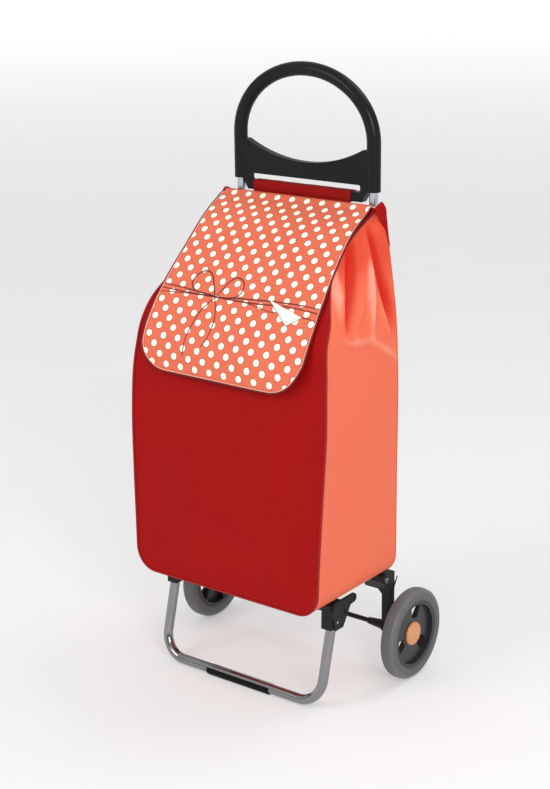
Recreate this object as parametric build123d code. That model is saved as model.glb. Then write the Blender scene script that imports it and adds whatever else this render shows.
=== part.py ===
from build123d import *
import math
import os

# Two-wheeled shopping trolley: a tube frame with a moulded D handle, a folding stand with a
# U-shaped foot, two rubber-tyred wheels and a soft bag with a flap. Millimetres, +Z up, +X to the
# right of someone who faces the front of the bag, +Y to the back.
# Every part is drawn about the wheel axle's plane, Y = 0, with the floor at Z = 0. keep() then moves
# it by AXLE_Y, so that the origin is on the floor under the middle of the whole trolley.

# wheels and axle
WHEEL_R = 75.0
TYRE_WIDTH = 25.0
TYRE_INNER_R = 56.5
TREAD_GROOVES = 5
WHEEL_X = 205.2
AXLE_R = 4.0
AXLE_END = 8.0
HUB_R = 13.0
HUB_INNER_END = 31.0
HUB_OUTER_END = 5.0
BUSH_R = 6.5
CAP_R = 19.5
SPOKE_WINDOWS = 3
WINDOW_TURN = 12.0

# frame
TUBE_X = 127.7
TUBE_R = 7.0
TUBE_WALL = 1.2
TUBE_TOP = 850.0
TUBE_FOOT = 172.0
CROSSBAR_Z = 262.0
CROSSBAR_R = 5.0
BRACKET_TOP = 171.0
SOCKET_TOP = 232.0
LEG_IN, LEG_OUT = 154.0, 168.0
LEG_HALF_DEPTH = 8.0

# handle
ARCH_CENTRE_Z = 859.0
ARCH_RISE = 105.0
GRIP_R = 11.0
GRIP_WALL = 2.6
COLUMN_FOOT = 786.0
WEB_HALF_DEPTH = 6.5
WEB_LOW, WEB_MID_TOP, WEB_END_TOP = 795.0, 821.0, 847.0
BAR_LOW, BAR_TOP = 769.0, 784.0
SLOT_HALF = 107.0
SCREW_R = 1.5

# folding stand
PIVOT_Y, PIVOT_Z = -17.0, 163.0
PIVOT_R = 3.0
RAIL_X = 115.0
RAIL_R = 6.0
STAND_BAR_Y = -160.0
STAND_BAR_HALF = 163.0
FOOT_X = 158.4
FOOT_R = 8.0
FOOT_BEND = 40.0
FOOT_Y = -187.5
GLIDE_THICK = 1.6
GLIDE_HALF = 62.5
LEG_TOP_Y, LEG_TOP_Z = -151.5, 150.0

# bag
BAG_HALF = 181.0
BAG_BACK_Y = -9.5
BAG_LOW = 172.0
BAG_CORNER = 38.0
CLOTH = 1.5
BOARD_THICK = 3.0
BOTTOM_BACK_Y = -30.0
BOARD_BACK_Y = -39.0
# (half width, height) up the bag's sides, which draw in towards the top
BAG_WIDTHS = ((181.0, 520.0), (177.0, 600.0), (169.0, 665.0), (158.0, 725.0), (153.0, 758.0))
# (depth, height) up the front of the bag, then back along its sloping mouth
BAG_FRONT = ((-222.0, 172.0), (-217.0, 334.0), (-211.0, 450.0), (-203.0, 540.0), (-190.0, 596.0))
BAG_MOUTH = ((-172.0, 620.0), (-150.0, 645.0), (-104.0, 692.0), (-50.0, 734.0), (-9.5, 758.0))

# flap: (depth, height) of its outer face from the hinge at the back to the hem at the front
FLAP_LINE = (
    (-12.5, 769.4),
    (-17.5, 769.6),
    (-60.0, 742.0),
    (-109.0, 702.0),
    (-155.0, 653.0),
    (-190.0, 604.0),
    (-210.0, 570.0),
    (-219.0, 545.0),
    (-221.0, 515.0),
)
FLAP_THICK = 2.0
FLAP_HALF = 160.0
FLAP_CORNER = 58.0
HEM_ROD_R = 2.0
HEM_ROD_Y, HEM_ROD_Z = -15.0, 765.0

AXLE_Y = 75.0


def keep(node, *solids):
    """Writes one node, moved from the axle's plane to the trolley's own origin."""
    moved = [Pos(0, AXLE_Y, 0) * solid for solid in solids]
    shape = moved[0] if len(moved) == 1 else Compound(children=moved)
    export_step(shape, f"parts/{node}.step")


def cylinder_x(radius, x0, x1, y, z):
    """A round bar along X from x0 to x1."""
    return Pos((x0 + x1) / 2, y, z) * Rot(0, 90, 0) * Cylinder(radius, abs(x1 - x0))


def cylinder_y(radius, y0, y1, x, z):
    """A round bar along Y from y0 to y1."""
    return Pos(x, (y0 + y1) / 2, z) * Rot(90, 0, 0) * Cylinder(radius, abs(y1 - y0))


def cylinder_z(radius, z0, z1, x, y):
    """A round bar along Z from z0 to z1."""
    return Pos(x, y, (z0 + z1) / 2) * Cylinder(radius, z1 - z0)


def block(x0, x1, y0, y1, z0, z1):
    """A box between two corners."""
    return Pos((x0 + x1) / 2, (y0 + y1) / 2, (z0 + z1) / 2) * Box(x1 - x0, y1 - y0, z1 - z0)


def side_prism(points, x0, x1):
    """A (Y, Z) outline drawn out from x0 to x1."""
    face = Plane.YZ * make_face(Polyline(*points, close=True))
    return Pos(x0, 0, 0) * extrude(face, amount=x1 - x0)


def front_prism(face, y0, y1):
    """An (X, Z) face drawn out from y0 back to y1."""
    return Pos(0, y1, 0) * extrude(Plane.XZ * face, amount=y1 - y0)


def mirror_x(shape):
    """The same piece on the other side of the trolley."""
    return mirror(shape, about=Plane.YZ)


def both_sides(name, shape):
    """Writes the right-hand piece and its mirror image."""
    keep(f"{name}_right", shape)
    keep(f"{name}_left", mirror_x(shape))


# ---- wheels


def tyre():
    """Solid rubber ring with a crowned tread and narrow grooves round it."""
    half = TYRE_WIDTH / 2
    groove = 0.6
    tread = []
    for k in range(TREAD_GROOVES):
        x = (k - (TREAD_GROOVES - 1) / 2) * 3.4
        r = WHEEL_R - 0.018 * x * x
        tread += [(x - groove, r), (x, r - 1.0), (x + groove, r)]
    side = [(half - 2.6, WHEEL_R - 2.6), (half, WHEEL_R - 7.5), (half, TYRE_INNER_R + 4)]
    side.append((half - 2.0, TYRE_INNER_R))
    profile = [(-x, r) for x, r in reversed(side)] + tread + side
    face = make_face(Polyline(*profile, close=True))
    return Pos(WHEEL_X, 0, WHEEL_R) * revolve(face, Axis.X)


def window_face():
    """One opening between two broad spokes, as a sector of a ring with rounded corners."""
    inner, outer, half_angle = 25.0, 48.0, 15.5
    arcs = CenterArc((0, 0), outer, 90 - half_angle, 2 * half_angle)
    arcs += CenterArc((0, 0), inner, 90 - half_angle * 1.15, 2.3 * half_angle)
    ends = []
    for turn in (1, -1):
        a = math.radians(90 + turn * half_angle)
        b = math.radians(90 + turn * half_angle * 1.15)
        near = (inner * math.cos(b), inner * math.sin(b))
        far = (outer * math.cos(a), outer * math.sin(a))
        ends.append(Line(near, far))
    face = make_face([*arcs.edges(), *ends])
    return fillet(face.vertices(), 2.5)


def rim():
    """Moulded wheel: a band under the tyre, a disc with three windows, ribs and a long hub."""
    band = cylinder_x(TYRE_INNER_R - 0.02, WHEEL_X - 11, WHEEL_X + 10, 0, WHEEL_R)
    band -= cylinder_x(50.0, WHEEL_X - 12, WHEEL_X + 12, 0, WHEEL_R)
    disc = cylinder_x(51.0, WHEEL_X, WHEEL_X + 3.5, 0, WHEEL_R)
    hub = cylinder_x(HUB_R, WHEEL_X - HUB_INNER_END, WHEEL_X + HUB_OUTER_END, 0, WHEEL_R)
    wheel = band + disc + hub
    for k in range(SPOKE_WINDOWS):
        turn = -WINDOW_TURN + k * 360 / SPOKE_WINDOWS
        cut = extrude(Plane.YZ * window_face(), amount=8)
        wheel -= Pos(WHEEL_X - 2, 0, WHEEL_R) * Rot(turn, 0, 0) * cut
        for side in (-30, 30):
            rib = Pos(0, 0, (HUB_R + 51) / 2 - 0.5) * Box(10, 2.2, 51 - HUB_R)
            wheel += Pos(WHEEL_X - 4.5, 0, WHEEL_R) * Rot(turn + side, 0, 0) * rib
    bore = cylinder_x(BUSH_R + 0.02, WHEEL_X - 40, WHEEL_X + 20, 0, WHEEL_R)
    return wheel - bore


def bush():
    """Plain bearing pressed into the hub."""
    x0, x1 = WHEEL_X - HUB_INNER_END, WHEEL_X + HUB_OUTER_END
    return cylinder_x(BUSH_R, x0, x1, 0, WHEEL_R) - cylinder_x(AXLE_R + 0.05, x0, x1, 0, WHEEL_R)


def hub_cap():
    """Domed cap with a plain raised ring. It snaps over the end of the hub."""
    x = WHEEL_X + 3.55
    dome = [(0, 0), (0, CAP_R), (2.2, CAP_R), (4.2, CAP_R - 1.6), (5.0, CAP_R - 3.4)]
    dome += [(5.0, 13.0), (5.8, 12.2), (5.8, 10.8), (5.2, 10.0), (6.6, 0)]
    solid = Pos(x, 0, WHEEL_R) * revolve(make_face(Polyline(*dome, close=True)), Axis.X)
    inside = cylinder_x(HUB_R + 0.1, x - 1, WHEEL_X + HUB_OUTER_END + 0.1, 0, WHEEL_R)
    inside += cylinder_x(8.0, x - 1, x + 5.0, 0, WHEEL_R)
    return solid - inside


def axle_set():
    """The axle, the washers that space the wheels from the brackets and the end rings."""
    keep("axle", cylinder_x(AXLE_R, -WHEEL_X - AXLE_END, WHEEL_X + AXLE_END, 0, WHEEL_R))
    inner = WHEEL_X - HUB_INNER_END
    spacer = cylinder_x(8.0, LEG_OUT + 0.1, inner - 0.2, 0, WHEEL_R)
    spacer -= cylinder_x(AXLE_R + 0.02, LEG_OUT, inner, 0, WHEEL_R)
    keep("axle_spacers", spacer, mirror_x(spacer))
    start = WHEEL_X + HUB_OUTER_END + 0.2
    ring = cylinder_x(7.0, start, start + 1.2, 0, WHEEL_R)
    ring -= cylinder_x(AXLE_R + 0.02, start, start + 2, 0, WHEEL_R)
    keep("axle_end_rings", ring, mirror_x(ring))


# ---- frame


def frame_tube():
    """Upright tube from the rear bracket into the handle."""
    tube = cylinder_z(TUBE_R, TUBE_FOOT, TUBE_TOP, TUBE_X, 0)
    tube -= cylinder_z(TUBE_R - TUBE_WALL, TUBE_FOOT, TUBE_TOP, TUBE_X, 0)
    return tube - cylinder_y(1.7, 0, 12, TUBE_X, 806) - cylinder_y(1.7, 0, 12, TUBE_X, 215)


def frame_crossbar():
    """Cross tube that keeps the two uprights apart, with its ends fitted round them."""
    bar = cylinder_x(CROSSBAR_R, -TUBE_X, TUBE_X, 0, CROSSBAR_Z)
    bar -= cylinder_x(CROSSBAR_R - 1.2, -TUBE_X, TUBE_X, 0, CROSSBAR_Z)
    for x in (-TUBE_X, TUBE_X):
        bar -= cylinder_z(TUBE_R + 0.02, CROSSBAR_Z - 20, CROSSBAR_Z + 20, x, 0)
    return bar


def rear_bracket():
    """Moulded bracket: a leg on the axle, a lug for the stand's pivot and a socket for the tube."""
    leg = block(LEG_IN, LEG_OUT, -LEG_HALF_DEPTH, LEG_HALF_DEPTH, WHEEL_R, BRACKET_TOP)
    leg += cylinder_x(LEG_HALF_DEPTH + 3, LEG_IN, LEG_OUT, 0, WHEEL_R)
    boss = Pos(139, 0, WHEEL_R) * Rot(0, 90, 0) * Cone(5.5, 8.5, 30)
    inner = 122.0
    haunch = make_face(
        Polyline((156, 131), (inner, 163), (inner, BRACKET_TOP), (156, BRACKET_TOP), close=True)
    )
    body = leg + boss + front_prism(haunch, -LEG_HALF_DEPTH, LEG_HALF_DEPTH)
    lug = [(-25, 160), (-25, BRACKET_TOP), (0, BRACKET_TOP), (0, 140), (-8, 140), (-19, 155)]
    body += side_prism(lug, inner, LEG_OUT)
    x0, x1 = TUBE_X - 9.4, TUBE_X + 9.4
    body += block(x0, x1, -8.6, 9.4, 163, SOCKET_TOP)
    body += block(inner, 150, 2, 8, BRACKET_TOP - 10, 200)
    for k in (0, 1):
        rib = Box(1.2, 1.6, 46)
        body += Pos(LEG_OUT + 0.3, -1 + 5 * k, 134 + 6 * k) * Rot(-30, 0, 0) * rib
    body -= block(110, inner, -30, 12, 140, 172)
    body -= cylinder_z(TUBE_R + 0.03, TUBE_FOOT - 0.05, 260, TUBE_X, 0)
    body -= cylinder_x(AXLE_R + 0.02, 100, 200, 0, WHEEL_R)
    body -= cylinder_x(PIVOT_R + 0.02, 100, 200, PIVOT_Y, PIVOT_Z)
    return body - cylinder_y(1.7, 0, 12, TUBE_X, 215)


def tube_screw(z, y_out):
    """Pan-head screw through a socket's rear wall into the upright tube."""
    head = cylinder_y(3.5, y_out + 0.02, y_out + 2.2, TUBE_X, z)
    return head + cylinder_y(1.65, 3.5, y_out + 1.0, TUBE_X, z)


# ---- handle


def arch(radius):
    """The bow of the handle, a round bar along half an ellipse."""
    path = EllipticalCenterArc((0, 0), TUBE_X, ARCH_RISE, start_angle=0, arc_size=180)
    path = Pos(0, 0, ARCH_CENTRE_Z) * (Plane.XZ * path)
    start = Plane((TUBE_X, 0, ARCH_CENTRE_Z), x_dir=(1, 0, 0), z_dir=(0, 0, 1))
    return sweep(start * Circle(radius), path=path)


def web_face():
    """Front view of the plate between the handle's columns, with the slot and the lower bar."""
    top = ThreePointArc((-112, WEB_END_TOP + 2), (0, WEB_MID_TOP), (112, WEB_END_TOP + 2))
    edge = [(112, WEB_END_TOP + 2), (120, WEB_END_TOP + 2), (120, COLUMN_FOOT), (110, BAR_LOW)]
    rest = Polyline(*edge, *[(-x, z) for x, z in reversed(edge)])
    plate = make_face([*top.edges(), *rest.edges()])
    slot = Pos(0, (WEB_LOW + BAR_TOP) / 2) * RectangleRounded(2 * SLOT_HALF, WEB_LOW - BAR_TOP, 3)
    return plate - slot


def handle_solid():
    """The whole handle before it is split into its two shells."""
    grip = arch(GRIP_R)
    hollow = arch(GRIP_R - GRIP_WALL)
    for x in (-TUBE_X, TUBE_X):
        grip += cylinder_z(GRIP_R, COLUMN_FOOT, ARCH_CENTRE_Z, x, 0)
        hollow += cylinder_z(GRIP_R - GRIP_WALL, TUBE_TOP, ARCH_CENTRE_Z, x, 0)
        hollow += cylinder_z(TUBE_R + 0.03, COLUMN_FOOT - 20, TUBE_TOP + 1, x, 0)
    grip += front_prism(web_face(), -WEB_HALF_DEPTH, WEB_HALF_DEPTH)
    return grip - hollow


def handle_screw_places():
    """Where the screws hold the handle's shells together."""
    return [(-95.0, 818.0), (-38.0, 808.0), (38.0, 808.0), (95.0, 818.0)]


def handle_set():
    """Front and rear shells of the handle, with their screws."""
    whole = handle_solid()
    front = whole & block(-200, 200, -50, 0, 700, 1000)
    rear = whole & block(-200, 200, 0, 50, 700, 1000)
    screws = []
    for x, z in handle_screw_places():
        shank = cylinder_y(SCREW_R, -4.5, WEB_HALF_DEPTH - 3, x, z)
        screws.append(shank + cylinder_y(3.0, WEB_HALF_DEPTH - 3, WEB_HALF_DEPTH - 0.8, x, z))
        front -= cylinder_y(SCREW_R + 0.03, -4.8, 0.5, x, z)
        rear -= cylinder_y(SCREW_R + 0.03, -0.5, 10, x, z)
        rear -= cylinder_y(3.2, WEB_HALF_DEPTH - 3.02, 10, x, z)
    for x in (-TUBE_X, TUBE_X):
        rear -= cylinder_y(1.7, 0, 14, x, 806)
    keep("handle_front_shell", front)
    keep("handle_rear_shell", rear)
    keep("handle_screws", *screws)
    socket = [tube_screw(806, GRIP_R), tube_screw(215, 9.4)]
    keep("tube_screws", *socket, *[mirror_x(s) for s in socket])


# ---- folding stand


def tube_along(path, radius, wall):
    """A hollow tube along a path of straight runs and arcs."""
    section = Circle(radius) - Circle(radius - wall)
    return sweep(Plane(origin=path @ 0, z_dir=path % 0) * section, path=path)


def foot_bar_z():
    """Height of the foot's ground bar, which stands on its glide."""
    return FOOT_R + GLIDE_THICK


def foot_tube():
    """U-shaped tube: two legs that lean forward and a bar along the floor."""
    z = foot_bar_z()
    corners = [(-FOOT_X, LEG_TOP_Y, LEG_TOP_Z), (-FOOT_X, FOOT_Y, z)]
    corners += [(FOOT_X, FOOT_Y, z), (FOOT_X, LEG_TOP_Y, LEG_TOP_Z)]
    return tube_along(FilletPolyline(*corners, radius=FOOT_BEND), FOOT_R, TUBE_WALL)


def foot_glide():
    """Clip round the underside of the ground bar, with a flat sole."""
    z = foot_bar_z()
    ring = cylinder_x(FOOT_R + GLIDE_THICK, -GLIDE_HALF, GLIDE_HALF, FOOT_Y, z)
    ring += block(-GLIDE_HALF, GLIDE_HALF, FOOT_Y - 4, FOOT_Y + 4, 0, 3)
    ring -= cylinder_x(FOOT_R + 0.03, -GLIDE_HALF, GLIDE_HALF, FOOT_Y, z)
    rise = 20.0 * math.tan(math.radians(30))
    gap = [(FOOT_Y, z), (FOOT_Y - 20, z + rise), (FOOT_Y, z + 30), (FOOT_Y + 20, z + rise)]
    return ring - side_prism(gap, -GLIDE_HALF - 1, GLIDE_HALF + 1)


def stand_bar():
    """Cross tube of the stand, held in both front brackets."""
    bar = cylinder_x(RAIL_R, -STAND_BAR_HALF, STAND_BAR_HALF, STAND_BAR_Y, PIVOT_Z)
    return bar - cylinder_x(
        RAIL_R - TUBE_WALL, -STAND_BAR_HALF, STAND_BAR_HALF, STAND_BAR_Y, PIVOT_Z
    )


def board_rivet_places():
    """Where the board and the bag's bottom are riveted to the right-hand rail."""
    return [(RAIL_X, -60.0), (RAIL_X, -135.0)]


def stand_rail():
    """Side tube of the stand, from the rear pivot to the cross tube."""
    rail = cylinder_y(RAIL_R, STAND_BAR_Y, PIVOT_Y + 7, RAIL_X, PIVOT_Z)
    rail -= cylinder_y(RAIL_R - TUBE_WALL, STAND_BAR_Y, PIVOT_Y + 7, RAIL_X, PIVOT_Z)
    rail -= cylinder_x(RAIL_R + 0.02, 0, 200, STAND_BAR_Y, PIVOT_Z)
    rail -= cylinder_x(PIVOT_R + 0.05, 100, 130, PIVOT_Y, PIVOT_Z)
    for x, y in board_rivet_places():
        rail -= cylinder_z(1.55, PIVOT_Z, 180, x, y)
    return rail


def pivot_pin():
    """Rivet that the rail turns on, through the rail and the rear bracket."""
    pin = cylinder_x(PIVOT_R, 107, LEG_OUT + 0.5, PIVOT_Y, PIVOT_Z)
    pin += cylinder_x(5.0, 106, 108, PIVOT_Y, PIVOT_Z)
    pin += cylinder_x(4.6, LEG_OUT + 0.02, LEG_OUT + 1.6, PIVOT_Y, PIVOT_Z)
    return pin - cylinder_x(1.8, LEG_OUT - 8, LEG_OUT + 3, PIVOT_Y, PIVOT_Z)


def leg_at(z):
    """Depth of a foot leg's middle line at a height."""
    t = (z - foot_bar_z()) / (LEG_TOP_Z - foot_bar_z())
    return FOOT_Y + t * (LEG_TOP_Y - FOOT_Y)


def front_bracket():
    """Moulded bracket that joins the stand's cross tube to a leg of the foot."""
    low, top = 130.0, BAG_LOW - 0.6
    wall = 10.6
    core = [(leg_at(low) - wall, low), (leg_at(low) + wall, low), (leg_at(top) + wall, top)]
    core += [(leg_at(top) - 22, top), (leg_at(top) - 22, top - 6), (leg_at(top) - 20, top - 9)]
    body = side_prism(core, FOOT_X - 11, FOOT_X + 8)
    lip = BRACKET_TOP + 3.5
    plate = [(leg_at(low) - 2, low - 2), (leg_at(low) + 18, low - 2), (-119, 158), (-119, lip)]
    plate += [(-160, lip), (-168, 160)]
    outer = side_prism(plate, FOOT_X + 7, FOOT_X + 11)
    outer += cylinder_x(7.5, FOOT_X + 7, FOOT_X + 11, -110, 167)
    outer += side_prism([(-125, 158), (-125, lip), (-110, lip), (-108, 160)], FOOT_X + 7, FOOT_X + 11)
    for y, z in ((-108.5, 167.5), (-134.5, 152)):
        outer -= cylinder_x(2.6, FOOT_X, FOOT_X + 20, y, z)
    body += outer
    body -= cylinder_x(RAIL_R + 0.03, FOOT_X - 20, STAND_BAR_HALF + 0.1, STAND_BAR_Y, PIVOT_Z)
    lean = math.degrees(math.atan2(LEG_TOP_Y - FOOT_Y, LEG_TOP_Z - foot_bar_z()))
    socket = Pos(FOOT_X, LEG_TOP_Y, LEG_TOP_Z) * Rot(-lean, 0, 0) * Pos(0, 0, -20)
    body -= socket * Cylinder(FOOT_R + 0.03, 40.1)
    return body - cylinder_x(2.02, FOOT_X - 12, FOOT_X + 12, leg_at(141), 141)


def leg_pin():
    """Pin through a front bracket and the foot leg in it."""
    return cylinder_x(2.0, FOOT_X - 11, FOOT_X + 11, leg_at(141), 141)


def stand_set():
    """Everything that swings up with the stand."""
    both_sides("stand_rail", stand_rail())
    keep("stand_crossbar", stand_bar())
    both_sides("front_bracket", front_bracket())
    pin = leg_pin()
    tube = foot_tube() - cylinder_x(2.02, FOOT_X - 12, FOOT_X + 12, leg_at(141), 141)
    tube -= cylinder_x(2.02, -FOOT_X - 12, -FOOT_X + 12, leg_at(141), 141)
    keep("foot_tube", tube)
    keep("foot_glide", foot_glide())
    keep("leg_pins", pin, mirror_x(pin))
    holes = [(s * x, y) for s in (-1, 1) for x, y in board_rivet_places()]
    low = BAG_LOW
    bottom = block(-142.4, 142.4, -219.4, BOTTOM_BACK_Y - 1.8, low, low + CLOTH)
    base = low + CLOTH + 0.1
    board = block(-140, 140, -214, BOARD_BACK_Y, base, base + BOARD_THICK)
    board = fillet(board.edges().filter_by(Axis.Z), 12)
    rivets = []
    for x, y in holes:
        top = base + BOARD_THICK
        rivets.append(cylinder_z(1.5, PIVOT_Z + 2.5, top, x, y) + cylinder_z(4, top, top + 1, x, y))
        bottom -= cylinder_z(1.55, low - 1, low + 4, x, y)
        board -= cylinder_z(1.55, low, low + 10, x, y)
    keep("bag_bottom", bottom)
    keep("base_board", board)
    keep("board_rivets", *rivets)


# ---- bag


def bag_outline(inset):
    """Front view of the bag, inset from its outer face. It has round bottom corners."""
    side = [(BAG_HALF - inset, BAG_LOW + inset)]
    side += [(half - inset, height) for half, height in BAG_WIDTHS]
    face = make_face(Polyline(*side, *[(-x, z) for x, z in reversed(side)], close=True))
    return fillet(face.vertices().group_by(Axis.Y)[0], BAG_CORNER - inset)


def pushed(line, by):
    """A (depth, height) line moved along Y."""
    return [(y + by, z) for y, z in line]


def bag_panels():
    """Front, sides and back of the bag, each a separate panel of cloth."""
    whole = front_prism(bag_outline(0), -260, 20)
    front_band = list(BAG_FRONT) + [BAG_MOUTH[0]]
    band = front_band + pushed(reversed(front_band), CLOTH)
    keep("bag_front", whole & side_prism(band, -200, 200))
    ring = front_prism(bag_outline(0) - bag_outline(CLOTH), -260, 20)
    inner = pushed(front_band, CLOTH + 0.02) + list(BAG_MOUTH[1:])
    inner[-1] = (BAG_BACK_Y - CLOTH - 0.02, BAG_MOUTH[-1][1])
    inner.append((BAG_BACK_Y - CLOTH - 0.02, BAG_LOW - 1))
    sides = ring & side_prism(inner, BAG_HALF - BAG_CORNER, BAG_HALF + 5)
    both_sides("bag_side", sides)
    back = whole & block(-200, 200, BAG_BACK_Y - CLOTH, BAG_BACK_Y, 100, BAG_MOUTH[-1][1])
    keep("bag_back", back)
    edge = BAG_BACK_Y - CLOTH - 0.02
    strip = block(-142.4, 142.4, BOTTOM_BACK_Y, edge, BAG_LOW, BAG_LOW + CLOTH)
    keep("bag_bottom_rear", strip)
    cord = 3.0
    proud = front_prism(bag_outline(0) - bag_outline(cord), -260, 20)
    piping = proud & side_prism(pushed(front_band, -cord) + pushed(reversed(front_band), -0.02), -200, 200)
    keep("bag_piping", piping)


def flap_outline(inset):
    """Front view of the flap with its rounded hem corners."""
    low = FLAP_LINE[-1][1] + inset
    half = FLAP_HALF - inset
    face = make_face(Polyline((-half, low), (half, low), (half, 800), (-half, 800), close=True))
    return fillet(face.vertices().group_by(Axis.Y)[0], FLAP_CORNER - inset)


def offset_line(line, by):
    """The same (depth, height) line moved inwards, square to each of its points."""
    moved = []
    for k, (y, z) in enumerate(line):
        y0, z0 = line[max(k - 1, 0)]
        y1, z1 = line[min(k + 1, len(line) - 1)]
        size = math.hypot(y1 - y0, z1 - z0)
        moved.append((y - (z1 - z0) / size * by, z + (y1 - y0) / size * by))
    return moved


def flap_set():
    """The flap that covers the mouth of the bag, with the piping round its edge."""
    inside = offset_line(FLAP_LINE, FLAP_THICK)
    strip = list(FLAP_LINE) + list(reversed(inside))
    sheet = side_prism(strip, -FLAP_HALF, FLAP_HALF)
    flap = sheet & front_prism(flap_outline(0), -260, 20)
    keep("flap", flap)
    raised = offset_line(FLAP_LINE, -1.6)
    over = list(raised) + list(reversed(offset_line(FLAP_LINE, -0.02)))
    edge = front_prism(flap_outline(0) - flap_outline(3), -260, 20)
    edge -= block(-200, 200, -24, 20, 700, 820)
    keep("flap_piping", side_prism(over, -FLAP_HALF, FLAP_HALF) & edge)


def bag_fixings():
    """What hangs the bag on the frame: the sleeve, the hem rod and the loops on the uprights."""
    keep("hem_rod", cylinder_x(HEM_ROD_R, -148, 148, HEM_ROD_Y, HEM_ROD_Z))
    depth = WEB_HALF_DEPTH + 0.1
    x0, x1 = -98.0, 90.0
    sleeve = block(x0, x1, -depth - 1.2, depth + 1.2, BAR_LOW - 1.3, BAR_TOP + 1.3)
    sleeve -= block(x0 - 1, x1 + 1, -depth, depth, BAR_LOW - 0.1, BAR_TOP + 0.1)
    sleeve += block(x0, x1, -depth - 1.2, -depth, 730, BAR_TOP)
    keep("hanging_sleeve", sleeve)
    loops = []
    for x in (-TUBE_X, TUBE_X):
        for z in (340, 560):
            loop = cylinder_z(TUBE_R + 1.4, z, z + 30, x, 0)
            loops.append(loop - cylinder_z(TUBE_R + 0.1, z - 1, z + 31, x, 0))
    keep("tube_loops", *loops)


def frame_set():
    """The fixed frame behind the bag."""
    both_sides("frame_tube", frame_tube())
    keep("frame_crossbar", frame_crossbar())
    both_sides("rear_bracket", rear_bracket())
    both_sides("pivot_pin", pivot_pin())


def wheel_set():
    """Both wheels, each with its tyre, rim, bush and cap."""
    both_sides("tyre", tyre())
    both_sides("wheel_rim", rim())
    both_sides("wheel_bush", bush())
    both_sides("hub_cap", hub_cap())


os.makedirs("parts", exist_ok=True)
wheel_set()
axle_set()
frame_set()
handle_set()
stand_set()
bag_panels()
flap_set()
bag_fixings()
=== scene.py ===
import math

import bpy
import numpy as np
from mathutils import Matrix, Vector


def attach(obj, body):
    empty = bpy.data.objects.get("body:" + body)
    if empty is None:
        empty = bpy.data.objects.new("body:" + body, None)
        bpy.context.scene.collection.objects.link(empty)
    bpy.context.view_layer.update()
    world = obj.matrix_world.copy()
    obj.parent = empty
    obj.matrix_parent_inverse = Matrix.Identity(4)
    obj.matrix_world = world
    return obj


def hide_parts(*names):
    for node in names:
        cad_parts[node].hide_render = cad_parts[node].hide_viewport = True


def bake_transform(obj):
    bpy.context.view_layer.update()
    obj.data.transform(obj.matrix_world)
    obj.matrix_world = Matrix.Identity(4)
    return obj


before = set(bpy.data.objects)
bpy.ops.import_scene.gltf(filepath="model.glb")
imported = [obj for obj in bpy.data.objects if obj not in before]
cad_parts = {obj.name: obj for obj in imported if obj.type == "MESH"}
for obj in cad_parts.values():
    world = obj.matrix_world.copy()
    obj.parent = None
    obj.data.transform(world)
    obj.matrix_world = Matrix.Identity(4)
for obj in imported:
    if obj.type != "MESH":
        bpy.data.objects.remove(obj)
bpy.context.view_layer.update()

# The shopping trolley's looks. Lengths below are millimetres in the trolley's own drawing frame,
# where Y = 0 is the wheel axle and Z = 0 the floor. to_row() turns them into the row frame's metres.

AXLE_Y = 75.0
AXLE_Z = 75.0

# bag
BAG_HALF = 181.0
BAG_LOW = 172.0
BAG_CORNER = 38.0
BAG_BACK_Y = -9.5
BAG_TOP = 766.0
FRONT_TOP = 684.0

# (height, half the bag's width there)
WIDTHS = ((172, 181), (350, 181), (520, 181), (600, 177), (665, 169), (725, 160), (766, 153))

# (height, y of the front face there, and above FRONT_TOP of the sloping mouth)
DEPTHS = (
    (172, -222), (334, -217), (450, -211), (540, -202.5), (596, -188.7), (620, -173.6),
    (645, -155.3), (694, -111), (736, -60), (758, -22), (766, -9.5),
)

# (height, how far the rim is drawn in there)
TUCKS = ((172, 0), (590, 0), (620, 4), (645, 14), (668, 23), (690, 27), (730, 22), (766, 10))

# the left side's share of the right side's relief
LEFT_SHARE = 0.8

# thicknesses of cloth, in metres
CLOTH = 0.0014
FLAP_THICK = 0.0016
THIN_CLOTH = 0.001
INK = 0.0002

# points behind the cloth, which its outer faces are turned away from
BAG_INSIDE = (0, -110, 400)
HOOD_INSIDE = (0, -60, 700)
FLAP_INSIDE = (0, -60, 500)

# flap: (y, z) of its outer face down its middle, from the hinge to the hem
FLAP_LINE = (
    (-12.8, 767.9), (-15.4, 768.7), (-18.4, 767.4), (-22.0, 763.9), (-36.0, 755.4), (-60, 741.4),
    (-109, 702), (-155, 653), (-190, 604), (-210, 570), (-219, 545), (-221, 515),
)
# (distance from the hinge, x of the edge there)
FLAP_RIGHT = ((0, 136), (60, 138.5), (100, 142), (165, 146.5), (220, 149), (280, 150), (342, 150))
FLAP_LEFT = (
    (0, -139), (6, -141), (14, -150), (25, -150), (70, -148), (137, -148), (167, -151.5),
    (199, -156), (232, -160), (342, -160),
)
FLAP_HALF = 160.0
HEM_CORNER_LEFT, HEM_CORNER_RIGHT = 50.0, 62.0

# the print's dots: one step along a row, and one step down to the next row, which is staggered
DOT_STEP = (28.8, 0.0)
ROW_STEP = (13.9, 14.45)
DOT_START = (-147.5, 228.3)
DOT_R = 5.6
# in metres: the blur of a dot's edge, and where its thin ring fades out beyond the edge
DOT_BLUR = 0.0003
RING_FADE = (0.0006, 0.0011)
# whole steps added to a point's count of steps, which keep it positive
WHOLE_STEPS = 200.0

# tyre: radians per metre of the mould lines across the tread and of the side walls' rings, and the
# radii in metres between which a painted highlight makes the shoulder's rubber paler
TREAD_LINES = 4200.0
WALL_RINGS = 1900.0
SHOULDER = (0.0660, 0.0705)

# sleeve: the bar's stretch of x, the section's middle height, half depth, bottom, top and corner
SLEEVE_X = (-98, 90)
SLEEVE_MID = 776.5
SLEEVE_HALF_Y = 7.9
SLEEVE_LOW, SLEEVE_HIGH = 767.8, 785.2
SLEEVE_CORNER = 2.6
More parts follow.
